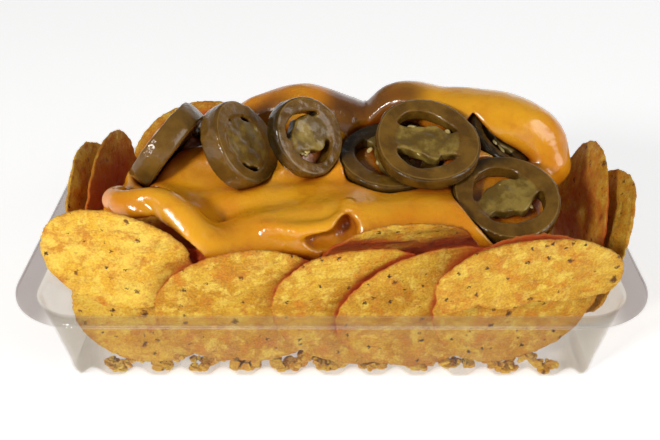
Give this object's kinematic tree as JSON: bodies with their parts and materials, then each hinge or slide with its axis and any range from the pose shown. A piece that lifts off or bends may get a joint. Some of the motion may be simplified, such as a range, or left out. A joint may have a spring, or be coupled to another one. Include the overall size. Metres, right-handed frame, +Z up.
{
  "type": "nachos in a clear tray",
  "caption": "Round tortilla chips standing round a clear ribbed plastic tray, heaped with glossy cheese sauce and pickled pepper rings.",
  "frame": {"origin": "middle of the tray's footprint, on the surface that it stands on", "axes": "+X along the tray to its right end as seen from the front, +Y to the back, +Z up"},
  "size_m": [0.204, 0.1265, 0.084],
  "materials": {
    "clear_plastic": "thin clear thermoformed sheet, glossy, with a faint grey tint",
    "tortilla": "dry, rough and blistered fried corn, with dark specks and toasted edges",
    "cheese_sauce": "thick and glossy, slightly translucent",
    "pickled_pepper": "wet olive skin and translucent flesh"
  },
  "bodies": {
    "root": {"cheese_sauce": "cheese_sauce", "chip_back_1": "tortilla", "chip_back_2": "tortilla", "chip_back_3": "tortilla", "chip_back_4": "tortilla", "chip_back_5": "tortilla", "chip_broken": "tortilla", "chip_corner_left": "tortilla", "chip_front_1": "tortilla", "chip_front_2": "tortilla", "chip_front_3": "tortilla", "chip_front_4": "tortilla", "chip_front_5": "tortilla", "chip_heap": "tortilla", "chip_left_inner": "tortilla", "chip_left_outer": "tortilla", "chip_right_inner": "tortilla", "chip_right_outer": "tortilla", "chip_second_left": "tortilla", "chip_second_middle": "tortilla", "chip_second_right": "tortilla", "pepper_1": "pickled_pepper", "pepper_2": "pickled_pepper", "pepper_3": "pickled_pepper", "pepper_4": "pickled_pepper", "pepper_5": "pickled_pepper", "pepper_6": "pickled_pepper", "pepper_7": "pickled_pepper", "pepper_8": "pickled_pepper", "pepper_9": "pickled_pepper", "tray": "clear_plastic"}
  },
  "joints": []
}
